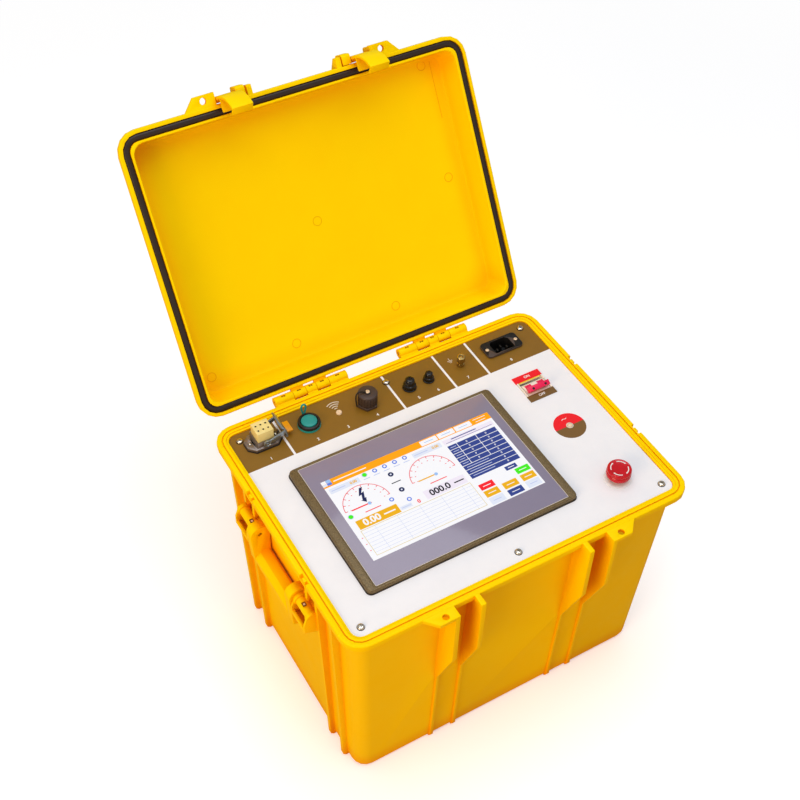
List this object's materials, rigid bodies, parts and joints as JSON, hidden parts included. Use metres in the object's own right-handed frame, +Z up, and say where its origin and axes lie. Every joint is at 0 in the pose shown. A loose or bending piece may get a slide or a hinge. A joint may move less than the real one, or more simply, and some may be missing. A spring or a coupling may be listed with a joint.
{
  "type": "hipot tester",
  "caption": "High-voltage withstand tester in an open moulded yellow case, with a raised touch panel, covered sockets, terminals, mains inlet, breaker and emergency stop.",
  "frame": {"origin": "middle of the case's footprint, on the surface that the case stands on", "axes": "+X along the front of the case to the right, +Y from front to back, +Z up"},
  "size_m": [0.469, 0.5701, 0.6284],
  "materials": {
    "yellow_plastic": "moulded, fine satin texture",
    "gasket_rubber": "extruded, matt",
    "steel": "zinc plated",
    "panel_white": "printed white and brown on aluminium",
    "bezel_dark": "fine grained, dark bronze",
    "screen_glass": "touch film over a screen",
    "black_plastic": "moulded nylon",
    "zinc": "die-cast zinc, sprayed grey",
    "lever_steel": "pressed and plated",
    "cream_plastic": "filled polycarbonate",
    "amber_plastic": "moulded",
    "teal_rubber": "moulded",
    "brass": "turned",
    "inlet_plastic": "moulded",
    "breaker_white": "moulded",
    "breaker_pink": "moulded",
    "lamp_beige": "lens",
    "stop_red": "moulded, glossy",
    "collar_white": "moulded",
    "lamination": "stacked laminations",
    "copper": "enamelled winding",
    "epoxy": "cast resin",
    "board_green": "solder mask",
    "sheet_steel": "galvanised sheet",
    "resistor_blue": "lacquered"
  },
  "bodies": {
    "case": {"antenna_port": "brass", "base_shell": "yellow_plastic", "breaker_body": "breaker_white", "chassis_plate": "sheet_steel", "control_board": "board_green", "front_panel": "panel_white", "ground_post": "brass", "handle_pin_left_back": "steel", "handle_pin_left_front": "steel", "handle_pin_right_back": "steel", "handle_pin_right_front": "steel", "hinge_pin_left": "steel", "hinge_pin_right": "steel", "hmi_bezel": "bezel_dark", "hmi_glass": "screen_glass", "hmi_housing": "black_plastic", "indicator_lamp": "lamp_beige", "inlet_body": "inlet_plastic", "lan_socket": "black_plastic", "lan_strap": "black_plastic", "output_housing": "zinc", "output_insert": "cream_plastic", "panel_screw_1": "steel", "panel_screw_2": "steel", "panel_screw_3": "steel", "panel_screw_4": "steel", "panel_screw_5": "steel", "panel_screw_6": "steel", "power_supply": "sheet_steel", "regulator_post": "sheet_steel", "regulator_toroid": "copper", "regulator_wiper": "sheet_steel", "stop_collar": "collar_white", "stop_contact_block": "black_plastic", "terminal_h_post": "black_plastic", "terminal_l_post": "black_plastic", "transformer_coil": "epoxy", "transformer_core": "lamination", "usb_collar": "black_plastic", "usb_socket": "teal_rubber", "usb_strap": "teal_rubber", "voltage_divider": "resistor_blue"},
    "lid": {"lid_shell": "yellow_plastic", "lid_gasket": "gasket_rubber", "latch_pin_left": "steel", "latch_pin_right": "steel"},
    "latch_left": {"latch_left": "yellow_plastic"},
    "latch_right": {"latch_right": "yellow_plastic"},
    "handle_left": {"handle_left": "yellow_plastic"},
    "handle_right": {"handle_right": "yellow_plastic"},
    "output_lever": {"output_lever": "lever_steel", "output_tab": "amber_plastic"},
    "usb_cap": {"usb_cap": "teal_rubber"},
    "lan_cap": {"lan_cap": "black_plastic"},
    "terminal_h_knob": {"terminal_h_knob": "black_plastic"},
    "terminal_l_knob": {"terminal_l_knob": "black_plastic"},
    "ground_nut": {"ground_nut": "brass"},
    "breaker_toggle": {"breaker_toggle": "breaker_pink"},
    "stop_stem": {"stop_stem": "stop_red"},
    "stop_head": {"stop_head": "stop_red"}
  },
  "joints": [
    {"name": "lid_hinge", "type": "hinge", "parent": "case", "child": "lid", "pos_m": [0, 0.1793, 0.3063], "axis": [1, 0, 0], "range_deg": [0, 121]},
    {"name": "latch_left_hinge", "type": "hinge", "parent": "lid", "child": "latch_left", "pos_m": [-0.086, 0.36853, 0.60745], "axis": [1, 0, 0], "range_deg": [-150, 0]},
    {"name": "latch_right_hinge", "type": "hinge", "parent": "lid", "child": "latch_right", "pos_m": [0.086, 0.36853, 0.60745], "axis": [1, 0, 0], "range_deg": [-150, 0]},
    {"name": "handle_left_hinge", "type": "hinge", "parent": "case", "child": "handle_left", "pos_m": [-0.2225, 0, 0.2623], "axis": [0, 1, 0], "range_deg": [0, 95]},
    {"name": "handle_right_hinge", "type": "hinge", "parent": "case", "child": "handle_right", "pos_m": [0.2225, 0, 0.2623], "axis": [0, -1, 0], "range_deg": [0, 95]},
    {"name": "output_lever_hinge", "type": "hinge", "parent": "case", "child": "output_lever", "pos_m": [-0.172, 0.133, 0.3133], "axis": [0, -1, 0], "range_deg": [0, 140]},
    {"name": "usb_cap_pull", "type": "slide", "parent": "case", "child": "usb_cap", "axis": [0, 0, 1], "range_m": [0, 0.012]},
    {"name": "lan_cap_turn", "type": "hinge", "parent": "case", "child": "lan_cap", "pos_m": [-0.0368, 0.1255, 0.31], "axis": [0, 0, 1], "continuous": true},
    {"name": "terminal_h_turn", "type": "hinge", "parent": "case", "child": "terminal_h_knob", "pos_m": [0.0207, 0.1243, 0.31], "axis": [0, 0, 1], "continuous": true},
    {"name": "terminal_l_turn", "type": "hinge", "parent": "case", "child": "terminal_l_knob", "pos_m": [0.0478, 0.1243, 0.31], "axis": [0, 0, 1], "continuous": true},
    {"name": "ground_nut_turn", "type": "hinge", "parent": "case", "child": "ground_nut", "pos_m": [0.0955, 0.127, 0.31], "axis": [0, 0, 1], "continuous": true},
    {"name": "breaker_toggle_hinge", "type": "hinge", "parent": "case", "child": "breaker_toggle", "pos_m": [0.1558, 0.0534, 0.2963], "axis": [-1, 0, 0], "range_deg": [0, 56]},
    {"name": "stop_push", "type": "slide", "parent": "case", "child": "stop_stem", "axis": [0, 0, -1], "range_m": [0, 0.004], "stiffness_N_per_m": 1500, "springref_m": -0.001},
    {"name": "stop_twist", "type": "hinge", "parent": "stop_stem", "child": "stop_head", "pos_m": [0.157, -0.114, 0.315], "axis": [0, 0, -1], "range_deg": [0, 45], "stiffness_Nm_per_rad": 0.2}
  ]
}
